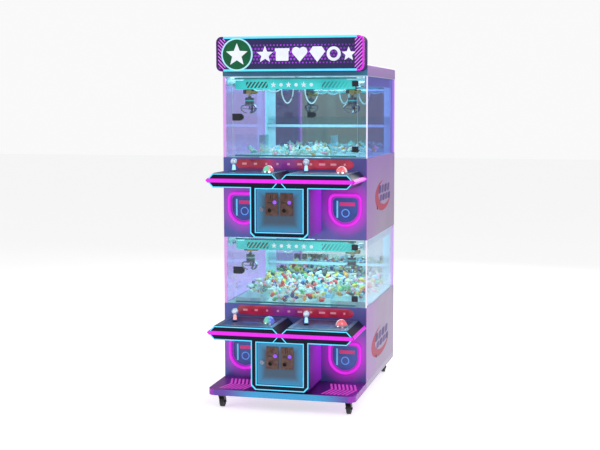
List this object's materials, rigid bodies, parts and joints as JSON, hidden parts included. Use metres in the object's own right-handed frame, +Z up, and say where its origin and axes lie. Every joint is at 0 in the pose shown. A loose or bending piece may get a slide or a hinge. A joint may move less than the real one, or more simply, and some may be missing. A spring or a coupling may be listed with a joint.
{
  "type": "claw machine",
  "caption": "Two-deck, four-player claw prize machine: glass display chambers with gantry cranes, joysticks, buttons, coin doors, prize flaps, lit marquee, on swivel casters.",
  "frame": {"origin": "on the floor under the centre of the overall bounding box", "axes": "+Z up; +Y towards the back of the machine, players stand on the -Y side; +X to the right as the player sees it"},
  "size_m": [0.804, 1.1944, 1.98],
  "materials": {
    "base_platform": "satin metallic",
    "button_cyan": "lit translucent",
    "button_green": "lit translucent",
    "button_red": "lit translucent",
    "caster_fork": "black zinc",
    "caster_wheel": "matte",
    "claw": "polished",
    "coin_acceptors": "brushed",
    "coin_door": "satin steel blue",
    "console_housings": "satin black",
    "control_plates": "brushed",
    "crane_bridge": "satin",
    "crane_trolley": "satin",
    "cyan_led_tubes": "lit diffuser",
    "display_frames": "gloss white",
    "door_fittings": "satin dark",
    "door_glass": "clear",
    "fixed_glass": "clear",
    "flap": "translucent blue",
    "front_panels": "satin violet",
    "gimbal": "matte",
    "joystick": "polished shaft, clear ball",
    "magenta_led_tubes": "lit diffuser",
    "marquee_face": "gloss, printed",
    "marquee_housing": "satin",
    "panel_screws": "polished",
    "printed_panels": "gloss, printed",
    "prize_decks": "gloss white",
    "rear_mirrors": "smoked mirror",
    "roof_panel": "satin",
    "side_rear_panels": "brushed lilac metallic"
  },
  "bodies": {
    "cabinet": {"base_platform": "base_platform", "side_rear_panels": "side_rear_panels", "front_panels": "front_panels", "roof_panel": "roof_panel", "prize_decks": "prize_decks", "display_frames": "display_frames", "fixed_glass": "fixed_glass", "rear_mirrors": "rear_mirrors", "console_housings": "console_housings", "control_plates": "control_plates", "cyan_led_tubes": "cyan_led_tubes", "magenta_led_tubes": "magenta_led_tubes", "marquee_housing": "marquee_housing", "marquee_face": "marquee_face", "printed_panels": "printed_panels", "panel_screws": "panel_screws"},
    "glass_door_lower_body": {"glass_door_lower": "door_glass", "glass_door_fittings_lower": "door_fittings"},
    "coin_door_lower_body": {"coin_door_lower": "coin_door", "coin_acceptors_lower": "coin_acceptors"},
    "prize_flap_lower_left_body": {"prize_flap_lower_left": "flap"},
    "push_button_lower_left_body": {"push_button_lower_left": "button_cyan"},
    "joystick_gimbal_lower_left_body": {"joystick_gimbal_lower_left": "gimbal"},
    "joystick_lower_left_body": {"joystick_lower_left": "joystick"},
    "crane_bridge_lower_left_body": {"crane_bridge_lower_left": "crane_bridge"},
    "crane_trolley_lower_left_body": {"crane_trolley_lower_left": "crane_trolley"},
    "claw_lower_left_body": {"claw_lower_left": "claw"},
    "prize_flap_lower_right_body": {"prize_flap_lower_right": "flap"},
    "push_button_lower_right_body": {"push_button_lower_right": "button_red"},
    "joystick_gimbal_lower_right_body": {"joystick_gimbal_lower_right": "gimbal"},
    "joystick_lower_right_body": {"joystick_lower_right": "joystick"},
    "crane_bridge_lower_right_body": {"crane_bridge_lower_right": "crane_bridge"},
    "crane_trolley_lower_right_body": {"crane_trolley_lower_right": "crane_trolley"},
    "claw_lower_right_body": {"claw_lower_right": "claw"},
    "glass_door_upper_body": {"glass_door_upper": "door_glass", "glass_door_fittings_upper": "door_fittings"},
    "coin_door_upper_body": {"coin_door_upper": "coin_door", "coin_acceptors_upper": "coin_acceptors"},
    "prize_flap_upper_left_body": {"prize_flap_upper_left": "flap"},
    "push_button_upper_left_body": {"push_button_upper_left": "button_green"},
    "joystick_gimbal_upper_left_body": {"joystick_gimbal_upper_left": "gimbal"},
    "joystick_upper_left_body": {"joystick_upper_left": "joystick"},
    "crane_bridge_upper_left_body": {"crane_bridge_upper_left": "crane_bridge"},
    "crane_trolley_upper_left_body": {"crane_trolley_upper_left": "crane_trolley"},
    "claw_upper_left_body": {"claw_upper_left": "claw"},
    "prize_flap_upper_right_body": {"prize_flap_upper_right": "flap"},
    "push_button_upper_right_body": {"push_button_upper_right": "button_red"},
    "joystick_gimbal_upper_right_body": {"joystick_gimbal_upper_right": "gimbal"},
    "joystick_upper_right_body": {"joystick_upper_right": "joystick"},
    "crane_bridge_upper_right_body": {"crane_bridge_upper_right": "crane_bridge"},
    "crane_trolley_upper_right_body": {"crane_trolley_upper_right": "crane_trolley"},
    "claw_upper_right_body": {"claw_upper_right": "claw"},
    "caster_fork_front_left_body": {"caster_fork_front_left": "caster_fork"},
    "caster_wheel_front_left_body": {"caster_wheel_front_left": "caster_wheel"},
    "caster_fork_front_right_body": {"caster_fork_front_right": "caster_fork"},
    "caster_wheel_front_right_body": {"caster_wheel_front_right": "caster_wheel"},
    "caster_fork_rear_left_body": {"caster_fork_rear_left": "caster_fork"},
    "caster_wheel_rear_left_body": {"caster_wheel_rear_left": "caster_wheel"},
    "caster_fork_rear_right_body": {"caster_fork_rear_right": "caster_fork"},
    "caster_wheel_rear_right_body": {"caster_wheel_rear_right": "caster_wheel"}
  },
  "joints": [
    {"name": "glass_door_lower_hinge", "type": "hinge", "parent": "cabinet", "child": "glass_door_lower_body", "pos_m": [0.349, -0.27665, 0.715], "axis": [0, 0, 1], "range_deg": [0, 100]},
    {"name": "coin_door_lower_hinge", "type": "hinge", "parent": "cabinet", "child": "coin_door_lower_body", "pos_m": [0.121, -0.58975, 0.2705], "axis": [0, 0, 1], "range_deg": [0, 105]},
    {"name": "prize_flap_lower_left_hinge", "type": "hinge", "parent": "cabinet", "child": "prize_flap_lower_left_body", "pos_m": [-0.282, -0.26605, 0.323], "axis": [1, 0, 0], "range_deg": [0, 60]},
    {"name": "push_button_lower_left_press", "type": "slide", "parent": "cabinet", "child": "push_button_lower_left_body", "axis": [0, 0, -1], "range_m": [0, 0.0035]},
    {"name": "joystick_lower_left_fore_aft", "type": "hinge", "parent": "cabinet", "child": "joystick_gimbal_lower_left_body", "pos_m": [-0.2865, -0.44725, 0.441], "axis": [1, 0, 0], "range_deg": [-14, 14]},
    {"name": "joystick_lower_left_left_right", "type": "hinge", "parent": "joystick_gimbal_lower_left_body", "child": "joystick_lower_left_body", "pos_m": [-0.2865, -0.44725, 0.441], "axis": [0, 1, 0], "range_deg": [-14, 14]},
    {"name": "crane_bridge_lower_left_travel", "type": "slide", "parent": "cabinet", "child": "crane_bridge_lower_left_body", "axis": [0, 1, 0], "range_m": [0, 0.55]},
    {"name": "crane_trolley_lower_left_travel", "type": "slide", "parent": "crane_bridge_lower_left_body", "child": "crane_trolley_lower_left_body", "axis": [1, 0, 0], "range_m": [0, 0.2]},
    {"name": "claw_lower_left_drop", "type": "slide", "parent": "crane_trolley_lower_left_body", "child": "claw_lower_left_body", "axis": [0, 0, -1], "range_m": [0, 0.08], "stiffness_N_per_m": 40, "springref_m": -0.2082},
    {"name": "prize_flap_lower_right_hinge", "type": "hinge", "parent": "cabinet", "child": "prize_flap_lower_right_body", "pos_m": [0.282, -0.26605, 0.323], "axis": [1, 0, 0], "range_deg": [0, 60]},
    {"name": "push_button_lower_right_press", "type": "slide", "parent": "cabinet", "child": "push_button_lower_right_body", "axis": [0, 0, -1], "range_m": [0, 0.0035]},
    {"name": "joystick_lower_right_fore_aft", "type": "hinge", "parent": "cabinet", "child": "joystick_gimbal_lower_right_body", "pos_m": [0.1085, -0.44725, 0.441], "axis": [1, 0, 0], "range_deg": [-14, 14]},
    {"name": "joystick_lower_right_left_right", "type": "hinge", "parent": "joystick_gimbal_lower_right_body", "child": "joystick_lower_right_body", "pos_m": [0.1085, -0.44725, 0.441], "axis": [0, 1, 0], "range_deg": [-14, 14]},
    {"name": "crane_bridge_lower_right_travel", "type": "slide", "parent": "cabinet", "child": "crane_bridge_lower_right_body", "axis": [0, 1, 0], "range_m": [0, 0.55]},
    {"name": "crane_trolley_lower_right_travel", "type": "slide", "parent": "crane_bridge_lower_right_body", "child": "crane_trolley_lower_right_body", "axis": [-1, 0, 0], "range_m": [0, 0.2]},
    {"name": "claw_lower_right_drop", "type": "slide", "parent": "crane_trolley_lower_right_body", "child": "claw_lower_right_body", "axis": [0, 0, -1], "range_m": [0, 0.08], "stiffness_N_per_m": 40, "springref_m": -0.2082},
    {"name": "glass_door_upper_hinge", "type": "hinge", "parent": "cabinet", "child": "glass_door_upper_body", "pos_m": [0.349, -0.27665, 1.554], "axis": [0, 0, 1], "range_deg": [0, 100]},
    {"name": "coin_door_upper_hinge", "type": "hinge", "parent": "cabinet", "child": "coin_door_upper_body", "pos_m": [0.121, -0.58975, 1.0755], "axis": [0, 0, 1], "range_deg": [0, 105]},
    {"name": "prize_flap_upper_left_hinge", "type": "hinge", "parent": "cabinet", "child": "prize_flap_upper_left_body", "pos_m": [-0.282, -0.26605, 1.128], "axis": [1, 0, 0], "range_deg": [0, 60]},
    {"name": "push_button_upper_left_press", "type": "slide", "parent": "cabinet", "child": "push_button_upper_left_body", "axis": [0, 0, -1], "range_m": [0, 0.0035]},
    {"name": "joystick_upper_left_fore_aft", "type": "hinge", "parent": "cabinet", "child": "joystick_gimbal_upper_left_body", "pos_m": [-0.2865, -0.44725, 1.246], "axis": [1, 0, 0], "range_deg": [-14, 14]},
    {"name": "joystick_upper_left_left_right", "type": "hinge", "parent": "joystick_gimbal_upper_left_body", "child": "joystick_upper_left_body", "pos_m": [-0.2865, -0.44725, 1.246], "axis": [0, 1, 0], "range_deg": [-14, 14]},
    {"name": "crane_bridge_upper_left_travel", "type": "slide", "parent": "cabinet", "child": "crane_bridge_upper_left_body", "axis": [0, 1, 0], "range_m": [0, 0.55]},
    {"name": "crane_trolley_upper_left_travel", "type": "slide", "parent": "crane_bridge_upper_left_body", "child": "crane_trolley_upper_left_body", "axis": [1, 0, 0], "range_m": [0, 0.2]},
    {"name": "claw_upper_left_drop", "type": "slide", "parent": "crane_trolley_upper_left_body", "child": "claw_upper_left_body", "axis": [0, 0, -1], "range_m": [0, 0.15], "stiffness_N_per_m": 40, "springref_m": -0.2082},
    {"name": "prize_flap_upper_right_hinge", "type": "hinge", "parent": "cabinet", "child": "prize_flap_upper_right_body", "pos_m": [0.282, -0.26605, 1.128], "axis": [1, 0, 0], "range_deg": [0, 60]},
    {"name": "push_button_upper_right_press", "type": "slide", "parent": "cabinet", "child": "push_button_upper_right_body", "axis": [0, 0, -1], "range_m": [0, 0.0035]},
    {"name": "joystick_upper_right_fore_aft", "type": "hinge", "parent": "cabinet", "child": "joystick_gimbal_upper_right_body", "pos_m": [0.1085, -0.44725, 1.246], "axis": [1, 0, 0], "range_deg": [-14, 14]},
    {"name": "joystick_upper_right_left_right", "type": "hinge", "parent": "joystick_gimbal_upper_right_body", "child": "joystick_upper_right_body", "pos_m": [0.1085, -0.44725, 1.246], "axis": [0, 1, 0], "range_deg": [-14, 14]},
    {"name": "crane_bridge_upper_right_travel", "type": "slide", "parent": "cabinet", "child": "crane_bridge_upper_right_body", "axis": [0, 1, 0], "range_m": [0, 0.55]},
    {"name": "crane_trolley_upper_right_travel", "type": "slide", "parent": "crane_bridge_upper_right_body", "child": "crane_trolley_upper_right_body", "axis": [-1, 0, 0], "range_m": [0, 0.2]},
    {"name": "claw_upper_right_drop", "type": "slide", "parent": "crane_trolley_upper_right_body", "child": "claw_upper_right_body", "axis": [0, 0, -1], "range_m": [0, 0.15], "stiffness_N_per_m": 40, "springref_m": -0.2082},
    {"name": "caster_front_left_swivel", "type": "hinge", "parent": "cabinet", "child": "caster_fork_front_left_body", "pos_m": [-0.348, -0.49725, 0.074], "axis": [0, 0, 1], "continuous": true},
    {"name": "caster_front_left_roll", "type": "hinge", "parent": "caster_fork_front_left_body", "child": "caster_wheel_front_left_body", "pos_m": [-0.348, -0.47925, 0.03], "axis": [1, 0, 0], "continuous": true},
    {"name": "caster_front_right_swivel", "type": "hinge", "parent": "cabinet", "child": "caster_fork_front_right_body", "pos_m": [0.348, -0.49725, 0.074], "axis": [0, 0, 1], "continuous": true},
    {"name": "caster_front_right_roll", "type": "hinge", "parent": "caster_fork_front_right_body", "child": "caster_wheel_front_right_body", "pos_m": [0.348, -0.47925, 0.03], "axis": [1, 0, 0], "continuous": true},
    {"name": "caster_rear_left_swivel", "type": "hinge", "parent": "cabinet", "child": "caster_fork_rear_left_body", "pos_m": [-0.348, 0.52475, 0.074], "axis": [0, 0, 1], "continuous": true},
    {"name": "caster_rear_left_roll", "type": "hinge", "parent": "caster_fork_rear_left_body", "child": "caster_wheel_rear_left_body", "pos_m": [-0.348, 0.54275, 0.03], "axis": [1, 0, 0], "continuous": true},
    {"name": "caster_rear_right_swivel", "type": "hinge", "parent": "cabinet", "child": "caster_fork_rear_right_body", "pos_m": [0.348, 0.52475, 0.074], "axis": [0, 0, 1], "continuous": true},
    {"name": "caster_rear_right_roll", "type": "hinge", "parent": "caster_fork_rear_right_body", "child": "caster_wheel_rear_right_body", "pos_m": [0.348, 0.54275, 0.03], "axis": [1, 0, 0], "continuous": true}
  ]
}
